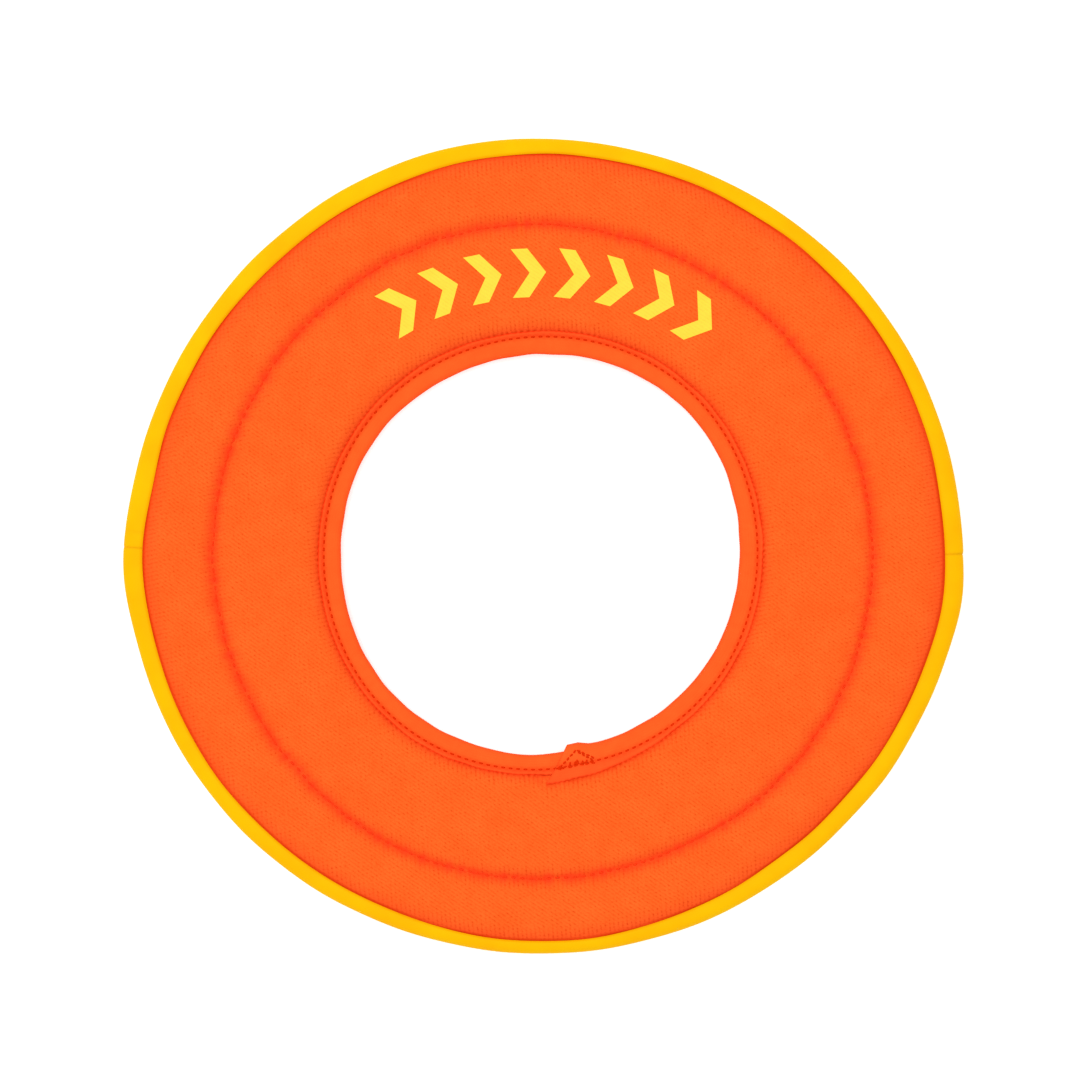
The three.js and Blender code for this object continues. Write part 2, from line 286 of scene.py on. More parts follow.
def shell_mesh(name, outer, inner, material, closed, values=None):
    """A closed mesh between two grids of points that face each other. Both are seen from outside, with
    rows running to the left of the columns. It is joined along its edges, and capped unless it goes all
    the way round."""
    rows, cols = outer.shape[:2]
    loop = np.concatenate([outer, inner[:, ::-1]], axis=1)
    quads = grid_quads(rows, 2 * cols, closed, True)
    if not closed:
        j = np.arange(cols - 1)
        cap = np.stack([j, 2 * cols - 1 - j, 2 * cols - 2 - j, j + 1], -1)
        quads = np.concatenate([quads, cap, (cap + (rows - 1) * 2 * cols)[:, ::-1]])
    both = {key: np.concatenate([v, v[:, ::-1]], axis=1) for key, v in (values or {}).items()}
    return quad_mesh(name, loop.reshape(-1, 3), quads, material, both)


def space(radii, angles, heights, side=1):
    x, y = place(radii, angles)
    return np.stack([x, y, MIDDLE + side * heights], -1)


def finish_piece(obj, slot, *nodes):
    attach(obj, "root")
    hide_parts(*nodes)
    return obj


CLEAR_OF_RING = 0.05  # metres from the mid-plane, well past every piece


def surface_of(*pieces):
    """Search trees of finished pieces, which what lies on them is laid against."""
    graph = bpy.context.evaluated_depsgraph_get()
    return [BVHTree.FromObject(piece, graph) for piece in pieces]


def lie_on(trees, x, y, side):
    """Heights in millimetres, over the frame's zero, of the outermost face at plan positions."""
    heights = np.empty(np.shape(x))
    away = MIDDLE * MM + side * CLEAR_OF_RING
    for k in np.ndindex(heights.shape):
        start = Vector((x[k] * MM, y[k] * MM, away))
        hits = [tree.ray_cast(start, Vector((0, 0, -side)))[0] for tree in trees]
        found = [hit.z / MM for hit in hits if hit]
        heights[k] = (max(found) if side > 0 else min(found)) if found else MIDDLE
    return heights


# --- Material helpers --------------------------------------------------------------------------------


class Nodes:
    """Short calls for building a material's node tree. Its noises and waves are sized in millimetres."""

    def __init__(self, name, roughness, specular):
        self.material = bpy.data.materials.new(name)
        self.material.use_nodes = True
        self.tree = self.material.node_tree
        self.shader = self.tree.nodes["Principled BSDF"]
        self.shader.inputs["Roughness"].default_value = roughness
        self.shader.inputs["Specular IOR Level"].default_value = specular

    def feed(self, socket, value):
        if isinstance(value, bpy.types.NodeSocket):
            self.tree.links.new(value, socket)
        else:
            socket.default_value = value

    def finish(self, colour, normal, roughness=None):
        self.feed(self.shader.inputs["Base Color"], colour)
        self.feed(self.shader.inputs["Normal"], normal)
        if roughness:
            self.feed(self.shader.inputs["Roughness"], roughness)
        return self.material

    def make(self, kind, output=0, settings=None, **inputs):
        node = self.tree.nodes.new("ShaderNode" + kind)
        for key, value in (settings or {}).items():
            setattr(node, key, value)
        for key, value in inputs.items():
            self.feed(node.inputs[key.replace("_", " ")], value)
        return node.outputs[output]

    def math(self, operation, *values):
        node = self.tree.nodes.new("ShaderNodeMath")
        node.operation = operation
        for socket, value in zip(node.inputs, values):
            self.feed(socket, value)
        return node.outputs[0]

    def add(self, *values):
        total = values[0]
        for value in values[1:]:
            total = self.math("ADD", total, value)
        return total

    def times(self, *values):
        total = values[0]
        for value in values[1:]:
            total = self.math("MULTIPLY", total, value)
        return total

    def attribute(self, name):
        return self.make("Attribute", 2, {"attribute_name": name})

    def plan_mm(self):
        """The point's x and y in millimetres."""
        node = self.tree.nodes.new("ShaderNodeSeparateXYZ")
        self.tree.links.new(self.make("TexCoord", 3), node.inputs[0])
        return self.times(node.outputs[0], 1 / MM), self.times(node.outputs[1], 1 / MM)

    def noise(self, size_mm, detail=2.0):
        """Noise with features of about that size, from 0 to 1."""
        point = self.make("TexCoord", 3)
        return self.make("TexNoise", Vector=point, Scale=1 / (size_mm * MM), Detail=detail)

    def wave(self, distance_mm, period_mm):
        """A cosine of a distance, from 0 to 1."""
        return self.ramp(self.math("COSINE", self.times(distance_mm, TURN / period_mm)), -1, 1)

    def ramp(self, factor, low, high):
        """factor taken from low..high to 0..1."""
        settings = {"clamp": True}
        return self.make("MapRange", 0, settings, From_Min=low, From_Max=high, Value=factor)

    def mix(self, factor, first, second):
        node = self.tree.nodes.new("ShaderNodeMix")
        node.data_type = "RGBA"
        for index, value in ((0, factor), (6, first), (7, second)):
            self.feed(node.inputs[index], value)
        return node.outputs[2]

    def bump(self, height, depth_mm):
        """A bump from a height that goes from 0 to 1 over that depth."""
        return self.make("Bump", Height=height, Distance=depth_mm * MM)


# --- Materials ---------------------------------------------------------------------------------------

ORANGE = (0.87, 0.106, 0.0130, 1)
ORANGE_PALE = (0.88, 0.123, 0.0165, 1)
ORANGE_SHADE = (0.60, 0.050, 0.002, 1)  # between the threads of the weave
ORANGE_TAPE = (0.88, 0.092, 0.0125, 1)
ORANGE_TAPE_PALE = (0.89, 0.104, 0.0145, 1)
ORANGE_RED_SHADE = (0.92, 0.044, 0.0115, 1)  # painted shade deep in seams, creases and folds, redder as where light reaches only by way of the cloth
RED = (0.70, 0.031, 0.0006, 1)
RED_DARK = (0.60, 0.021, 0.0004, 1)
BROWN = (0.60, 0.032, 0.0006, 1)  # the shadow between two pieces
YELLOW = (0.80, 0.440, 0.0005, 1)
YELLOW_DEEP = (0.82, 0.385, 0.0005, 1)
# painted shade of the edging's grooves and lip
YELLOW_SHADE = (0.58, 0.24, 0.002, 1)
LEMON = (0.80, 0.59, 0.020, 1)
LEMON_DEEP = (0.80, 0.55, 0.014, 1)

FOAM = (0.78, 0.76, 0.70, 1)
FOAM_PALE = (0.84, 0.82, 0.77, 1)
FLOOR = (0.94, 0.94, 0.94, 1)
FLOOR_PALE = (0.95, 0.95, 0.95, 1)

# Pitches of the weaves, of the thread's twist and of the foam's cells, in millimetres.
COLUMN_PERIOD = 1.49  # of the cover's weave
COLUMN_TILT = math.radians(4)
ROW_PERIOD = 1.41
ROW_TILT = math.radians(13)
TAPE_RIB_PERIOD = 0.62
TAPE_YARN_PERIOD = 0.9
TWIST_PITCH = 0.55
FOAM_CELL = 0.6


def weave(n):
    """(ridges, columns, rows) of the gaps in the cover's weave, each 0 on the threads and 1 deep between
    them. The ridges run down to the right, and grains of thread break the gaps up."""
    x, y = n.plan_mm()
    sway = n.times(n.add(n.noise(6, 1), -0.5), 0.5)
    along_x = n.add(n.times(x, math.cos(COLUMN_TILT)), n.times(y, math.sin(COLUMN_TILT)), sway)
    along_y = n.add(n.times(y, math.cos(ROW_TILT)), n.times(x, -math.sin(ROW_TILT)), sway)
    column = n.times(along_x, TURN / COLUMN_PERIOD)
    row = n.times(along_y, TURN / ROW_PERIOD)
    grains = n.add(n.times(n.ramp(n.noise(0.9, 1), 0.36, 0.62), 0.75), 0.25)
    phases = (n.add(column, row), column, row)
    return [n.times(n.ramp(n.math("COSINE", phase), -0.1, 1), grains) for phase in phases]


def cover_fabric():
    n = Nodes("orange_cover_fabric", 0.85, 0.03)
    ridges, columns, rows = weave(n)
    # The ribs' gaps take more painted shade on slopes, and the last two mixes paint shade and shadow
    # from the cover's attributes.
    across_x, across_y = n.attribute("column_rib_shade"), n.attribute("row_rib_shade")
    plain = n.math("MULTIPLY_ADD", n.add(across_x, across_y), -0.3, 0.44)
    gaps = n.add(
        n.times(ridges, plain),
        n.times(columns, n.math("MULTIPLY_ADD", across_x, 0.55, 0.10)),
        n.times(rows, n.math("MULTIPLY_ADD", across_y, 0.40, 0.10)),
        n.times(n.ramp(n.noise(0.5, 1), 0.45, 0.75), 0.28),
    )
    body = n.mix(n.ramp(n.noise(9, 4), 0.3, 0.7), ORANGE, ORANGE_PALE)
    woven = n.mix(n.math("MINIMUM", gaps, 1), body, ORANGE_SHADE)
    shaded = n.mix(n.attribute("crevice_shade"), woven, ORANGE_RED_SHADE)
    colour = n.mix(n.attribute("shadow"), shaded, BROWN)
    relief = n.add(n.times(gaps, -1), n.times(n.noise(0.45, 3), 0.35))
    return n.finish(colour, n.bump(relief, 0.07))


def tape_fabric():
    n = Nodes("orange_tape_fabric", 0.8, 0.03)
    ribs = n.wave(n.attribute("along"), TAPE_RIB_PERIOD)
    yarns = n.wave(n.attribute("across"), TAPE_YARN_PERIOD)
    body = n.mix(n.ramp(n.noise(5, 4), 0.3, 0.7), ORANGE_TAPE, ORANGE_TAPE_PALE)
    # Painted shade, redder, and then painted shadow in the thread's red.
    shaded = n.mix(n.attribute("crevice_shade"), body, ORANGE_RED_SHADE)
    colour = n.mix(n.attribute("shadow"), shaded, RED)
    relief = n.add(n.times(ribs, yarns), n.times(n.noise(0.6, 3), 0.5))
    return n.finish(colour, n.bump(relief, 0.06))


def edging_rubber():
    n = Nodes("yellow_edging_rubber", 0.6, 0.02)
    colour = n.mix(n.ramp(n.noise(16, 3), 0.3, 0.72), YELLOW, YELLOW_DEEP)
    # Painted shade in its grooves and along its lip.
    edging_shaded = n.mix(n.attribute("crevice_shade"), colour, YELLOW_SHADE)
    relief = n.add(n.times(n.noise(0.35, 2), 0.4), n.noise(2.4, 2))
    rough = n.math("MULTIPLY_ADD", n.noise(3, 3), 0.16, 0.44)
    return n.finish(edging_shaded, n.bump(relief, 0.05), rough)


def sewing_thread(name, pale, deep):
    n = Nodes(name, 0.7, 0.02)
    twist = n.add(n.times(n.attribute("along"), 1 / TWIST_PITCH), n.attribute("across"))
    strand = n.wave(twist, 1)
    return n.finish(n.mix(strand, deep, pale), n.bump(strand, 0.05))


def print_film():
    n = Nodes("yellow_print_film", 0.45, 0.3)
    ridges = weave(n)[0]
    colour = n.mix(n.ramp(n.noise(4, 3), 0.3, 0.7), LEMON, LEMON_DEEP)
    worn = n.mix(n.times(ridges, 0.10), colour, ORANGE_PALE)
    return n.finish(worn, n.bump(n.add(n.times(ridges, -1), n.noise(1.2, 2)), 0.03))


def foam_sheet():
    n = Nodes("white_closed_cell_foam", 0.9, 0.2)
    point = n.make("TexCoord", 3)
    edges = {"feature": "DISTANCE_TO_EDGE"}
    walls = n.make("TexVoronoi", 0, edges, Vector=point, Scale=1 / (FOAM_CELL * MM))
    colour = n.mix(n.ramp(n.noise(12, 3), 0.3, 0.7), FOAM, FOAM_PALE)
    return n.finish(colour, n.bump(n.ramp(walls, 0, 0.2), 0.08))


# --- Covers ------------------------------------------------------------------------------------------


def lap_shape(angle):
    """(spread, lift) of the tape's lapped end: how much further out and higher it lies at an angle. The
    cover gives way to it a little before the end."""
    past = (angle - LAP_CORNER) % TURN
    begins = ease(past, TURN - LAP_BEFORE, TURN)
    spread = LAP_SPREAD * np.maximum(np.clip(1 - past / LAP_TAPER, 0, 1) ** 1.2, begins)
    lift = LAP_LIFT * np.maximum(1 - ease(past, *LAP_LEVELS), begins)
    return spread, lift


def tape_climb(spread):
    """How much the tape's outer edge climbs, where it is spread out that far."""
    return TAPE_CLIMB + LAP_CLIMB * spread / LAP_SPREAD


def lap_reach(angle):
    """How much further into the hole the tape's lapped end stands."""
    past = (angle - LAP_FOLD) % TURN
    return LAP_REACH * np.clip(1 - past / LAP_REACH_TAPER, 0, 1) ** 2


def edging_width(angle):
    """How far the edging reaches in over the covers, which isn't the same all the way round."""
    return EDGING_WIDTH + waves(angle, EDGING_WIDTH_WAVES) + wobble(angle, 7, 30, 0.09, 3)


def tape_seam_radius(angle):
    return TAPE_SEAM_RADIUS - LAP_SEAM_SHARE * lap_reach(angle)


def quilt_seam_radius(angle):
    mean = QUILT_RADIUS - QUILT_SEAM_INSET
    return mean + waves(angle, QUILT_SEAM_WAVES) + wobble(angle, 8, 50, 0.15, 11)


def rim_seam_radius(angle):
    return np.full(np.shape(angle), RIM_SEAM_RADIUS)


def shoulder(distance, width, low):
    """Height of a rounded slope that climbs from low to the flat of the pad over width."""
    share = np.clip(distance / width, 0, 1)
    return low + (PAD_HALF - low) * (1 - (1 - share) ** SHOULDER_FULLNESS)


def crown(radius, angle):
    """Height of a cover's outer face above the mid-plane. It goes in under the tape and the edging, and
    touches the inside of each."""
    spread, lift = lap_shape(angle)
    tape_edge = TAPE_EDGE + spread
    under_tape = TAPE_HALF - TAPE_THICKNESS + lift + tape_climb(spread)
    edging_edge = RIM_RADIUS - edging_width(angle)
    under_edging = EDGING_HALF - EDGING_THICKNESS
    inner = shoulder(radius - tape_edge + SLOPE_TUCK, INNER_SHOULDER, under_tape)
    dip = 1 - ease(radius, TAPE_EDGE - TAPE_DIP_END, tape_edge - TAPE_DIP_START)
    inner -= (under_tape - SEAM_HALF) * dip
    from_seam = abs(radius - quilt_seam_radius(angle))
    quilted = shoulder(from_seam - VALLEY_FLAT, QUILT_SHOULDER, QUILT_HALF)
    outer = shoulder(edging_edge + SLOPE_TUCK - radius, OUTER_SHOULDER, under_edging)
    dip = ease(radius, edging_edge + EDGING_DIP_START, edging_edge + EDGING_DIP_END)
    outer -= (under_edging - SEAM_HALF) * dip
    return np.minimum(np.minimum(inner, quilted), outer)


def stations(counts):
    """Nominal radii across a cover, so many between one mark and the next."""
    marks = [
        COVER_INNER,
        TAPE_EDGE - 0.3,
        TAPE_EDGE + LAP_SPREAD + 0.5,
        TAPE_EDGE + INNER_SHOULDER + LAP_SPREAD,
        QUILT_RADIUS - QUILT_SHOULDER - 1,
        QUILT_RADIUS,
        QUILT_RADIUS + QUILT_SHOULDER + 1,
        EDGING_EDGE - OUTER_SHOULDER,
        EDGING_EDGE + 0.4,
        COVER_OUTER,
    ]
    parts = [np.linspace(a, b, c, endpoint=False) for a, b, c in zip(marks, marks[1:], counts)]
    return np.concatenate([*parts, marks[-1:]])


CLOTH_STATIONS = (2, 2, 3, 6, 6, 6, 3, 6, 2)
COVER_STATIONS = (2, 9, 5, 4, 9, 9, 3, 8, 1)
FOAM_STATIONS = (1, 1, 3, 6, 5, 5, 4, 5, 1)
ROWS_PER_STITCH = 4
FOAM_ROWS = 360
CLOTH_FRAMES = 20
CLOTH_PRESSURE = 3
CLOTH_SLACK = 0.05  # extra length near the quilting and the edging
SLACK_SPREAD = 5  # how far from them
TAPE_PIN_MARGIN = 0.4  # how far out from the tape's edge the cloth is pinned
EDGING_PIN_MARGIN = 0.1  # and how far in from the edging's
MOVE_LIMIT = 1  # the furthest that the cloth's own movement may take a cover


def vertex_group(obj, name, weights):
    """A vertex group with one weight per vertex, in steps of a hundredth."""
    group = obj.vertex_groups.new(name=name)
    steps = np.round(np.ravel(weights), 2)
    for level in np.unique(steps[steps > 0]):
        group.add(np.flatnonzero(steps == level).tolist(), float(level), "REPLACE")


def billowed(side):
    """How the cloth of a cover moves when it is held down along its seams while the foam pushes it out,
    as a cloth simulation finds: (angles, radii, moves outwards in plan, moves away from the mid-plane).
    """
    angles = np.linspace(0, TURN, 2 * QUILT_STITCHES, endpoint=False)
    radii = stations(CLOTH_STATIONS)
    a, r = np.meshgrid(angles, radii, indexing="ij")
    start = space(r, a, crown(r, a), side)
    quads = grid_quads(*a.shape, True, False)[:, ::side]
    cloth = quad_mesh("cloth_work", start.reshape(-1, 3), quads, None)
    held = np.zeros(a.shape)
    held[:, radii <= TAPE_EDGE + TAPE_PIN_MARGIN] = 1
    held[:, radii >= EDGING_EDGE - EDGING_PIN_MARGIN] = 1
    held[::2, np.argmin(abs(radii - QUILT_RADIUS))] = 1
    vertex_group(cloth, "held", held)
    loose = bump(r, QUILT_RADIUS, SLACK_SPREAD) + bump(r, EDGING_EDGE, SLACK_SPREAD)
    vertex_group(cloth, "loose", np.clip(loose, 0, 1))
    run_cloth(cloth)
    result = cloth.evaluated_get(bpy.context.evaluated_depsgraph_get()).to_mesh()
    moved = np.empty(len(result.vertices) * 3)
    result.vertices.foreach_get("co", moved)
    moved = moved.reshape(start.shape) / MM - start
    bpy.data.objects.remove(cloth)
    bpy.context.scene.frame_set(1)
    outwards = moved[..., 0] * np.cos(a) + moved[..., 1] * np.sin(a)
    return angles, radii, outwards, side * moved[..., 2]


def run_cloth(cloth):
    """Plays the simulation of an object, which is pinned by its group held and slack in loose."""
    modifier = cloth.modifiers.new("cloth", "CLOTH")
    settings = modifier.settings
    settings.vertex_group_mass = "held"
    settings.use_pressure = True
    settings.uniform_pressure_force = CLOTH_PRESSURE
    settings.effector_weights.gravity = 0
    settings.vertex_group_shrink = "loose"
    settings.shrink_min = 0
    settings.shrink_max = -CLOTH_SLACK
    settings.tension_stiffness = 30
    settings.compression_stiffness = 30
    settings.shear_stiffness = 10
    settings.bending_stiffness = 0.05
    settings.air_damping = 5
    modifier.point_cache.frame_start = 1
    modifier.point_cache.frame_end = CLOTH_FRAMES
    for step in range(1, CLOTH_FRAMES + 1):
        bpy.context.scene.frame_set(step)


def resampled(angles, radii, field, fine_angles, fine_radii):
    """A field on a coarse grid, read at the points of a finer one."""
    closed = np.vstack([field, field[:1]])
    turns = np.append(angles, TURN)
    across = np.stack([np.interp(fine_radii, radii, row) for row in closed])
    return np.stack([np.interp(fine_angles, turns, column) for column in across.T], -1)


TAPE_NEEDLE = (3, 0.55)  # sharpness and evenness of the needle's marks, for needle_marks()
QUILT_NEEDLE = (8, 0)


def needle_marks(angle, count, sharpness, evenness, seed):
    """How strong the mark of the nearest needle hole is at an angle, from 0 between the holes to 1. The
    holes are all alike where evenness is 1, and uneven, as in a hand-fed seam, where it is less."""
    strengths = evenness + (1 - evenness) * np.random.default_rng(seed).beta(0.9, 2.4, count)
    nearest = np.round(angle * count / TURN).astype(int) % count
    return strengths[nearest] * abs(np.cos(angle * count / 2)) ** sharpness


# The painted shade and painted shadow along the seams of a cover, and the needle holes' dents, in rows
# for bells(): strength, middle, spread in millimetres.
QUILT_CREVICE_STREAKED = ((0.30, 0, 2.6),)
QUILT_CREVICE = ((0.22, 0, 0.9),)
VALLEY_CREVICE = 0.10  # painted shade that grows as the cover lies lower than the pad's flat, most at the bottom of the quilting's valley
TAPE_CREVICE = ((0.20, 0, 0.6), (0.18, 0, 2.0))
TAPE_SHADOW = ((0.9, 0.1, 0.4), (0.12, 0.8, 0.5))
EDGING_CREVICE = ((0.16, 0, 1.0), (0.22, -1, 3.2))
EDGING_SHADOW = ((0.9, -0.2, 0.5),)
NEEDLE_SHADOW = ((0.7, 0, 0.5),)
NEEDLE_DENT = ((0.45, 0, 0.55),)


def lapped_out(a):
    """How much further out than the rest of the tape its lapped end lies over the cover."""
    return lap_shape(a)[0] * (apart(a, LAP_CORNER) > 0)


def puckers(a, past_quilting, past_tape, past_edging, seed):
    """Heights of the small creases that the stitches pull into a cover beside each seam."""
    height = wobble(a, 50, 150, 0.07, seed + 1) * bump(abs(past_quilting), 2.2, 2.0)
    height += wobble(a, 40, 160, 0.06, seed + 2) * bump(past_edging, -2, 2.2)
    height += wobble(a, 40, 120, 0.05, seed + 3) * bump(past_tape, 2, 1.8)
    return height


def cover_shades(a, height, dots, past_quilting, past_tape, past_edging, seed):
    """What the cover's material reads at each point: painted shade and painted shadow along its seams
    and in its valleys. On a slope, the ribs of the weave that run up it get more painted shade than the
    others."""
    # Painted shade: in streaks along the quilting, deeper the lower the cover lies, and beside the tape
    # and the edging.
    depth = np.clip((PAD_HALF - height) / (PAD_HALF - QUILT_HALF), 0, 1)
    streaks = 1 + wobble(a, 60, 220, 0.35, seed + 4)
    crevice_shade = bells(past_quilting, QUILT_CREVICE_STREAKED) * streaks
    crevice_shade += bells(past_quilting, QUILT_CREVICE) + VALLEY_CREVICE * depth
    crevice_shade += bells(past_tape, TAPE_CREVICE) + bells(past_edging, EDGING_CREVICE)
    # Painted shadow: at the quilting's needle holes, along the edging's edge, and in a jagged line along
    # the tape's edge, darker at the lap.
    lapped = lapped_out(a) / LAP_SPREAD
    teeth = np.clip(0.45 + wobble(a, 180, 320, 0.4, seed + 5) + 0.6 * lapped, 0, 1)
    shadow = dots * bells(past_quilting, NEEDLE_SHADOW) + bells(past_edging, EDGING_SHADOW)
    shadow += teeth * bells(past_tape, TAPE_SHADOW)
    # Painted shade on the slopes beside each seam, in the weave's ribs that run up them.
    slopes = bump(past_tape, 1.5, 2.2) + bump(past_edging, -2.5, 2.8)
    slopes = np.clip(slopes + 0.8 * bump(abs(past_quilting), 2, 2), 0, 1)
    return {
        "crevice_shade": np.clip(crevice_shade, 0, 1),
        "shadow": np.clip(shadow, 0, 1),
        "column_rib_shade": slopes * np.sin(a) ** 2,
        "row_rib_shade": slopes * np.cos(a) ** 2,
    }


def cover(name, node, side, material, seed):
    """A cover: sewn down at the tape, the quilting and the edging, and puckered along each seam."""
    angles = np.linspace(0, TURN, ROWS_PER_STITCH * QUILT_STITCHES, endpoint=False)
    radii = stations(COVER_STATIONS)
    a, r = np.meshgrid(angles, radii, indexing="ij")
    cloth_angles, cloth_radii, *moves = billowed(side)
    fields = (resampled(cloth_angles, cloth_radii, move, angles, radii) for move in moves)
    slide, rise = (np.clip(field, -MOVE_LIMIT, MOVE_LIMIT) for field in fields)

    past_quilting = r - quilt_seam_radius(a)
    past_tape = r - TAPE_EDGE - lapped_out(a)
    past_edging = r - RIM_RADIUS + edging_width(a)
    dots = needle_marks(a, QUILT_STITCHES, *QUILT_NEEDLE, seed)
    height = crown(r, a) + rise + puckers(a, past_quilting, past_tape, past_edging, seed)
    height -= dots * bells(past_quilting, NEEDLE_DENT)
    height = soft_limit(height, PAD_HALF + (COVER_RISE if side > 0 else 0), CAP_SOFTNESS)
    values = cover_shades(a, height, dots, past_quilting, past_tape, past_edging, seed)

    outer = space(r + slide, a, height, side)
    inner = space(r + slide, a, height - COVER_THICKNESS, side)
    values = {key: v[:, ::side] for key, v in values.items()}
    obj = shell_mesh(name, outer[:, ::side], inner[:, ::side], material, True, values)
    finish_piece(obj, "cover_fabric", node)
    return obj


# --- Foam --------------------------------------------------------------------------------------------


def foam(material):
    """The foam ring: it follows the covers' inner faces wherever there is room between them."""
    radii = stations(FOAM_STATIONS)
    angles = np.linspace(0, TURN, FOAM_ROWS, endpoint=False)
    a, r = np.meshgrid(angles, radii, indexing="ij")
    face = crown(r, a) - COVER_THICKNESS - FOAM_GAP
    inside = face.min(axis=0) > THINNEST_FOAM / 2
    upper = space(r[:, inside], a[:, inside], face[:, inside])
    lower = space(r[:, inside], a[:, inside], -face[:, inside])
    obj = shell_mesh("foam_ring", upper, lower, material, True)
    finish_piece(obj, "foam", "foam_core")
    return obj


# --- Folded strips -----------------------------------------------------------------------------------


def folded(tip, edge, half, nose, leg, nose_steps):
    """(radii, heights) of one face of a strip folded over an edge, from its upper edge over the nose at
    the tip to its lower edge. leg holds the shares of the way from edge to nose where the flat part has
    points. tip, edge and half have a row per place along the strip."""
    inwards = np.sign(edge - tip)
    start = tip + inwards * nose
    turn = np.linspace(math.pi / 2, -math.pi / 2, nose_steps)[1:-1]
    straight = edge + (start - edge) * leg
    level = half + 0 * straight
    radii = np.hstack([straight, start - inwards * nose * np.cos(turn), straight[:, ::-1]])
    heights = np.hstack([level, half * np.sin(turn), -level[:, ::-1]])
    return radii, heights


EDGING_ROWS = 620
EDGING_LEG = np.array([0, 0.05, 0.12, 0.3, 0.6, 1.0])
EDGING_NOSE_STEPS = 17
GROOVE_SPREAD = 0.4
GROOVE_DEPTH = 0.25
LAP_LINE_DEPTH = 0.10
EDGING_LIP = ((0.5, 0, 0.4),)  # how much it is rounded off, in a row for bells() from its edge


def edging(name, node, start, end, material, seed):
    """Half of the edging: a strip of soft rubber folded over the rim, rounded at its edges and ends."""
    angles = np.linspace(start, end, EDGING_ROWS)[:, None]
    from_end = np.minimum(angles - start, end - angles) * RIM_RADIUS
    from_left_join = abs(apart(angles, EDGING_JOINS[1])) * RIM_RADIUS
    tip = RIM_RADIUS + waves(angles, EDGING_TIP_WAVES) + wobble(angles, 7, 30, 0.06, seed)
    edge = RIM_RADIUS - edging_width(angles)
    half = EDGING_HALF + wobble(angles, 10, 50, 0.04, seed + 1)
    thick = EDGING_THICKNESS
    r, h = folded(tip, edge, half, EDGING_NOSE, EDGING_LEG, EDGING_NOSE_STEPS)
    nose_in = EDGING_NOSE - thick
    r_in, h_in = folded(tip - thick, edge, half - thick, nose_in, EDGING_LEG, EDGING_NOSE_STEPS)

    h -= np.sign(h) * bells(r - edge, EDGING_LIP)
    groove = bump(from_end, 0, GROOVE_SPREAD)
    is_lapped = start < EDGING_JOINS[1]
    lap_line = bump(from_left_join, EDGING_LAP, GROOVE_SPREAD) * is_lapped
    sunk = GROOVE_DEPTH * groove + LAP_LINE_DEPTH * lap_line
    h *= 1 - sunk / EDGING_HALF
    r = r - 0.6 * sunk * (r > tip - EDGING_NOSE)
    # Painted shade in the grooves at the ends, along the lap line and at the inner lip.
    crevice_shade = 0.42 * groove + 0.22 * lap_line + 0.25 * bump(r, edge, 0.2)
    outer, inner = space(r, angles, h), space(r_in, angles, h_in)
    obj = shell_mesh(name, outer, inner, material, False, {"crevice_shade": np.clip(crevice_shade, 0, 1)})
    return finish_piece(obj, "rim_edging", node)


TAPE_ROWS_PER_STITCH = 6
TAPE_LEG = np.concatenate([[0, 0.03, 0.08], np.linspace(0.16, 1, 12)])
TAPE_NOSE_STEPS = 11
TIP_INSET = 0.1  # of the tape's fold from the hole's nominal radius
TAIL_PULL = 0.7
BEFORE_LAP_PULL = 0.45
SLANT_RUN = 13  # degrees from the lapped end, past which the rows are no longer aslant
LAP_END_PUFF = ((0.22, 1.6, 1.2), (-0.30, 0, 0.5))  # how the lapped end swells and rounds off


def tape_tip(along, reach):
    """Radius of the tape's fold. The tail under the lap is pulled back from the hole, and less so the
    stretch before the lap."""
    to_tail = np.degrees(LAP_TAIL + TURN - along)
    pulled_back = TAIL_PULL * (1 - ease(to_tail, 4, 9)) + BEFORE_LAP_PULL * bump(to_tail, 20, 9)
    uneven = waves(along, TAPE_TIP_WAVES) + wobble(along, 8, 40, 0.06, 5)
    return HOLE_RADIUS - TIP_INSET - reach + pulled_back + uneven


def tape_drop(angle, r, holes, tip, seam_at, edge):
    """How far the tape's face is drawn down by its seam, by each stitch and at its raw edge, less the
    ridge that stands up between the seam and the edge."""
    drop = 0.28 * bump(r, seam_at, 0.8) + 0.30 * holes * bump(r, seam_at, 0.45)
    drop += 0.35 * bump(r, edge, 0.3) - 0.20 * bump(r, (seam_at + edge) / 2 + 0.2, 0.6)
    return drop + wobble(angle, 60, 200, 0.04, 8) * bump(r, tip + 2.5, 2.5)


def tape_shades(angle, r, h, holes, tip, seam_at, edge):
    """What the tape's material reads at each point: painted shade and painted shadow at its seam, its
    needle holes, its raw edge and its fold, and how its weave runs.
    """
    crevice_shade = 0.30 * ease(r, seam_at - 0.5, seam_at + 0.4) + 0.10 * bump(r, seam_at, 0.8)
    crevice_shade += 0.2 * bump(r, edge, 0.4) + 0.12 * bump(r, tip, 1.4)
    teeth = np.clip(0.75 + wobble(angle, 180, 320, 0.5, 9), 0, 1)
    shadow = (0.4 * holes + 0.2) * bump(r, seam_at, 0.8) + teeth * bump(r, edge, 0.35)
    shadow += 0.2 * bump(r, tip, 0.6)
    return {
        "crevice_shade": np.clip(crevice_shade, 0, 1),
        "shadow": np.clip(shadow, 0, 1),
        "along": angle * TAPE_SEAM_RADIUS,
        "across": r + abs(h),
    }


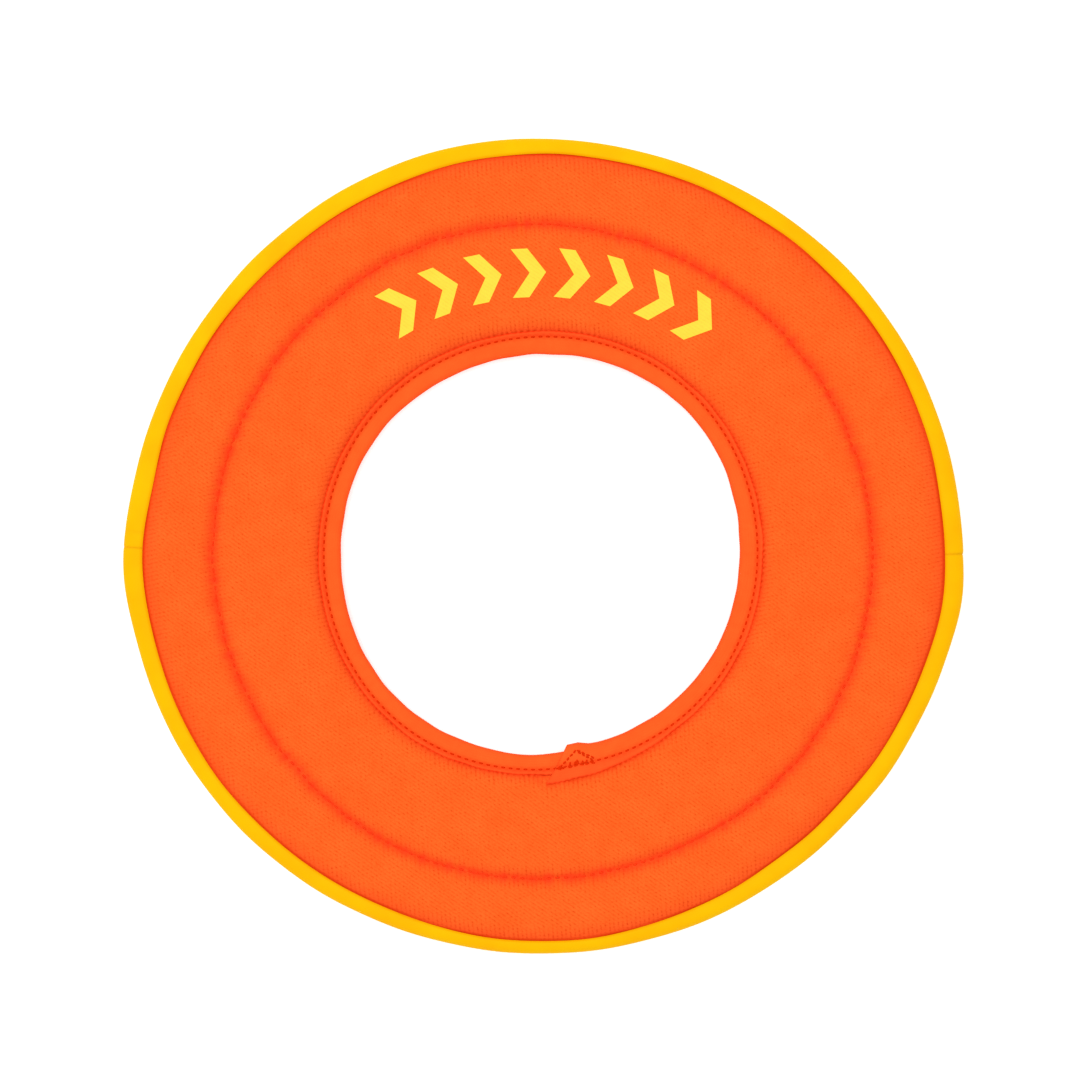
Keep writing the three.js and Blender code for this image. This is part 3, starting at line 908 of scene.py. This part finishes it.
def tape(material):
    """The tape: one strip folded over the hole's edge. Its end is folded aslant, and laps over its
    beginning, so that there it stands higher, further into the hole and further out."""
    rows = TAPE_ROWS_PER_STITCH * TAPE_STITCHES
    along = np.linspace(LAP_CORNER, LAP_TAIL + TURN, rows)[:, None]
    is_lapped = along - LAP_CORNER < math.pi
    spread, lift = (amount * is_lapped for amount in lap_shape(along))
    reach = np.where(along < LAP_FOLD, LAP_REACH, lap_reach(along)) * is_lapped
    tip = tape_tip(along, reach)
    edge = TAPE_EDGE + spread + wobble(along, 6, 40, 0.10, 6)
    half = TAPE_HALF + lift
    half_in = half - TAPE_THICKNESS
    r, h = folded(tip, edge, half, half, TAPE_LEG, TAPE_NOSE_STEPS)
    r_in, h_in = folded(tip + TAPE_THICKNESS, edge, half_in, half_in, TAPE_LEG, TAPE_NOSE_STEPS)

    slant = (LAP_FOLD - LAP_CORNER) * np.clip((edge - r) / (edge - tip), 0, 1)
    angle = along + slant * np.clip(1 - np.degrees(along - LAP_CORNER) / SLANT_RUN, 0, 1)
    seam_at = TAPE_SEAM_RADIUS - LAP_SEAM_SHARE * reach
    climb = tape_climb(spread)
    climbed = climb * ease(r, seam_at - 1, edge)
    h += np.sign(h) * climbed
    h_in += np.sign(h_in) * climb * ease(r_in, seam_at - 1, edge)

    holes = needle_marks(angle, TAPE_STITCHES, *TAPE_NEEDLE, 7)
    from_end = (along - LAP_CORNER) * HOLE_RADIUS
    puffed = is_lapped * bells(from_end, LAP_END_PUFF)
    drop = tape_drop(angle, r, holes, tip, seam_at, edge) - puffed
    h -= np.sign(h) * drop * (abs(h) > half + climbed - 0.3)
    values = tape_shades(angle, r, h, holes, tip, seam_at, edge)
    outer, inner = space(r, angle, h), space(r_in, angle, h_in)
    values = {key: v[:, ::-1] for key, v in values.items()}
    obj = shell_mesh("folded_hole_tape", outer[:, ::-1], inner[:, ::-1], material, False, values)
    return finish_piece(obj, "hole_tape", "hole_tape")


# --- Threads -----------------------------------------------------------------------------------------

THREAD_WIDTH = 0.66
THREAD_FLATNESS = 0.8  # its height over its width
THREAD_RISE = 0.12  # of a stitch's middle line over what it lies on
THREAD_SINK = 0.45  # how far its ends dive in from there
STITCH_SHARE = 0.72  # of the stitch length that shows, between one needle hole and the next
TACK_WIDTH = 0.6
TACK_SINK = 0.25
TACK_GAP = 0.08  # shares of a tacking stitch that are left out at its ends
BAR_RINGS = 9
BAR_SIDES = 8


def bar_faces(count, outwards):
    """Faces of count closed bars, each made of rings of points with a lid at either end."""
    tube = grid_quads(BAR_RINGS, BAR_SIDES, False, True)
    half = np.arange(BAR_SIDES // 2 - 1)
    lid = np.stack([half, half + 1, BAR_SIDES - 2 - half, BAR_SIDES - 1 - half], -1)
    last = (BAR_RINGS - 1) * BAR_SIDES
    if outwards:
        bar = np.concatenate([tube[:, ::-1], lid, lid[:, ::-1] + last])
    else:
        bar = np.concatenate([tube, lid[:, ::-1], lid + last])
    return np.concatenate([bar + k * BAR_RINGS * BAR_SIDES for k in range(count)])


def thread_bars(name, node, ends, width, sink, trees, side, material):
    """A piece made of stitches. Each is a short rounded bar that lies on what is under it and dives in
    at both ends. ends holds the plan points where each one starts and stops, in a (count, 2, 2) array.
    """
    ends = np.asarray(ends, float)
    t = np.linspace(0, 1, BAR_RINGS)[None, :, None]
    middle = ends[:, :1] * (1 - t) + ends[:, 1:] * t
    way = ends[:, 1] - ends[:, 0]
    length = np.linalg.norm(way, axis=1)[:, None]
    way = way / length
    across = np.stack([-way[:, 1], way[:, 0]], -1)[:, None, None, :]
    from_middle = 2 * t[..., 0] - 1
    radius = width / 2 * np.sqrt(np.clip(1 - 0.94 * from_middle**4, 0, 1))[..., None]
    surface = lie_on(trees, middle[..., 0], middle[..., 1], side)
    turn = np.linspace(0, TURN, BAR_SIDES, endpoint=False)
    plan = middle[:, :, None, :] + across * (radius * np.cos(turn))[..., None]
    raised = (THREAD_RISE - sink * from_middle**2)[..., None]
    z = surface[..., None] + side * (raised + THREAD_FLATNESS * radius * np.sin(turn))
    points = np.concatenate([plan, z[..., None]], -1)
    along = np.broadcast_to((length * t[..., 0])[..., None], z.shape)
    values = {"along": along, "across": np.broadcast_to(turn / TURN, z.shape)}
    obj = quad_mesh(name, points.reshape(-1, 3), bar_faces(len(ends), side > 0), material, values)
    return finish_piece(obj, "thread", node)


def seam(line, radius, count, kind, side, trees, material):
    """A seam of lockstitches. radius is a function that gives its nominal radius at an angle."""
    angles = (np.arange(count) + 0.5) / count * TURN
    half = STITCH_SHARE / 2 * TURN / count
    starts, stops = (np.stack(place(radius(angles), angles + turn), -1) for turn in (-half, half))
    name, node = f"{line}_stitches_{kind}", f"{line}_seam_{kind}_thread"
    ends = np.stack([starts, stops], 1)
    return thread_bars(name, node, ends, THREAD_WIDTH, THREAD_SINK, trees, side, material)


# Places of the tacking, in plan.
TACK_KNOT = np.array((5.4, -75.3))
TACK_PEAK = np.array((11.1, -69.1))
TACK_RIGHT = np.array((17.4, -72.0))
TACK_KNOT_STITCHES = ((-0.7, -0.5), (0.6, -0.7), (-0.2, 0.6), (0.9, 0.4))  # halves, from the knot
TACK_UPRIGHTS = (
    (8.9, -74.0),
    (10.6, -73.8),
    (11.2, -73.2),
    (11.5, -73.6),
    (13.1, -73.5),
    (14.5, -73.2),
)


def run_of_stitches(start, stop, stitches, wander):
    """Ends of the stitches from start to stop, which lean to one side and the other by turns."""
    marks = start + (stop - start) * np.linspace(0, 1, stitches + 1)[:, None]
    sides = np.array([stop[1] - start[1], start[0] - stop[0]]) / np.linalg.norm(stop - start)
    ends = []
    for k, (a, b) in enumerate(zip(marks, marks[1:])):
        gap = TACK_GAP * (b - a)
        lean = wander * sides * (-1) ** k
        ends.append((a + gap + lean, b - gap - lean))
    return ends


def tack(trees, material):
    """The hand-guided tacking over the lap: two sides of a triangle, doubled in places, a knot of
    overlapping stitches at its left corner, and short upright stitches inside it."""
    ends = run_of_stitches(TACK_KNOT, TACK_PEAK, 5, 0.10)
    ends += run_of_stitches(TACK_PEAK, TACK_RIGHT, 4, 0.14)
    ends += run_of_stitches(TACK_PEAK + (0.4, -0.7), TACK_RIGHT + (-0.5, -0.7), 4, 0.12)
    ends += run_of_stitches(TACK_KNOT + (0.9, 0.2), TACK_RIGHT + (0.3, -1.4), 6, 0.18)
    for dx, dy in TACK_KNOT_STITCHES:
        ends.append((TACK_KNOT + (dx, dy), TACK_KNOT - (dx, dy * 0.4)))
    for middle in np.array(TACK_UPRIGHTS):
        ends.append((middle - (0.15, 0.9), middle + (0.25, 0.9)))
    name, node = "tape_tack_stitches", "tape_tack_thread"
    return thread_bars(name, node, ends, TACK_WIDTH, TACK_SINK, trees, 1, material)


# --- Print -------------------------------------------------------------------------------------------

MARK_COUNT = 8
MARK_PITCH = math.radians(9.1)
MARK_MIDDLE = math.radians(88)
MARK_RADIUS = 95
MARK_HEIGHT = 16.5
MARK_STROKE = 5.6
MARK_POINT = 6  # how far its middle stands out past its ends
MARK_ROWS, MARK_COLUMNS = 49, 17
FILM_THICKNESS = 0.12
FILM_LIFT = 0.01


def chevrons(trees, material):
    """The printed chevrons: thin films that lie on the cover's own surface."""
    rows, columns = np.linspace(-1, 1, MARK_ROWS), np.linspace(-0.5, 0.5, MARK_COLUMNS)
    v, u = np.meshgrid(rows, columns, indexing="ij")
    along = u * MARK_STROKE + MARK_POINT * (0.5 - abs(v))
    out = v * MARK_HEIGHT / 2
    for i in range(MARK_COUNT):
        turned = MARK_MIDDLE + MARK_PITCH * ((MARK_COUNT - 1) / 2 - i)
        centre_x, centre_y = place(MARK_RADIUS, turned)
        x = centre_x + along * math.sin(turned) + out * math.cos(turned)
        y = centre_y - along * math.cos(turned) + out * math.sin(turned)
        z = lie_on(trees, x, y, 1)
        lower = np.stack([x, y, z + FILM_LIFT], -1)
        upper = np.stack([x, y, z + FILM_THICKNESS], -1)
        obj = shell_mesh(f"print_mark_{i + 1}", upper[:, ::-1], lower[:, ::-1], material, False)
        finish_piece(obj, "print", f"print_chevron_{i + 1}")


# --- Studio ------------------------------------------------------------------------------------------

FLOOR_HALF = 3  # metres
FLOOR_DROP = 0.0002  # metres under the ring
FLOOR_GLOW = 0.3
SKY_STRENGTH = 0.82
LIGHTS = (("key", (-1.1, 1.1, 1.6), 1.0, 11), ("top", (0, 0, 2.2), 2.0, 22))  # place, size, watts
LENS = 100
VIEW_WIDTH = 0.367  # metres that the camera takes in at the ring's mid-plane
EYE_X, EYE_Y = -0.0012, 0.0020


def ground():
    n = Nodes("pale_floor", 0.9, 0.2)
    n.shader.inputs["Emission Color"].default_value = (1, 1, 1, 1)
    n.shader.inputs["Emission Strength"].default_value = FLOOR_GLOW
    n.feed(n.shader.inputs["Base Color"], n.mix(n.noise(60, 2), FLOOR, FLOOR_PALE))
    mesh = bpy.data.meshes.new("floor")
    corners = [(x * FLOOR_HALF, y * FLOOR_HALF, 0) for x, y in ((-1, -1), (1, -1), (1, 1), (-1, 1))]
    mesh.from_pydata(corners, [], [(0, 1, 2, 3)])
    mesh.materials.append(n.material)
    floor = bpy.data.objects.new("floor", mesh)
    floor.location.z = BASE * MM - FLOOR_DROP
    bpy.context.scene.collection.objects.link(floor)


def lights():
    world = bpy.data.worlds.new("studio_world")
    world.use_nodes = True
    world.node_tree.nodes["Background"].inputs["Color"].default_value = (1, 1, 1, 1)
    world.node_tree.nodes["Background"].inputs["Strength"].default_value = SKY_STRENGTH
    bpy.context.scene.world = world
    for name, place_m, size_m, watts in LIGHTS:
        light = bpy.data.lights.new(name, "AREA")
        light.size = size_m
        light.energy = watts
        lamp = bpy.data.objects.new(name, light)
        lamp.location = place_m
        lamp.rotation_euler = Vector(place_m).to_track_quat("Z", "Y").to_euler()
        bpy.context.scene.collection.objects.link(lamp)


def camera():
    data = bpy.data.cameras.new("camera")
    data.lens = LENS
    distance = VIEW_WIDTH * LENS / data.sensor_width
    eye = bpy.data.objects.new("camera", data)
    eye.location = (EYE_X, EYE_Y, distance + MIDDLE * MM)
    bpy.context.scene.collection.objects.link(eye)
    bpy.context.scene.camera = eye


# --- Assembly ----------------------------------------------------------------------------------------

TOP_SEED = 11

camera()
ground()
lights()
bpy.context.scene.view_settings.view_transform = "Standard"

fabric = cover_fabric()
rubber = edging_rubber()
thread = sewing_thread("red_sewing_thread", RED, RED_DARK)
# The quilting and rim threads take their colours from the painted shade of the weave's gaps and of a
# seam's depths.
sunk_thread = sewing_thread("orange_sewing_thread", ORANGE_SHADE, ORANGE_RED_SHADE)
foam(foam_sheet())
top_cover = cover("top_cover_fabric", "top_cover", 1, fabric, TOP_SEED)
bottom_cover = cover("bottom_cover_fabric", "bottom_cover", -1, fabric, TOP_SEED + 20)
right_join, left_join = EDGING_JOINS
edging("edging_strip_print_side", "rim_edging_print_half", right_join, left_join, rubber, 41)
edging("edging_strip_plain_side", "rim_edging_plain_half", left_join, right_join + TURN, rubber, 51)
hole_tape = tape(tape_fabric())

covers, tapes = surface_of(top_cover, bottom_cover), surface_of(hole_tape)
chevrons(covers, print_film())
seams = (
    ("hole", tape_seam_radius, TAPE_STITCHES, tapes, thread),
    ("quilt", quilt_seam_radius, QUILT_STITCHES, covers, sunk_thread),
    ("rim", rim_seam_radius, RIM_STITCHES, covers, sunk_thread),
)
for side, kind in ((1, "needle"), (-1, "bobbin")):
    for line, radius, count, lies_on, sewn_with in seams:
        seam(line, radius, count, kind, side, lies_on, sewn_with)
tack(tapes, thread)
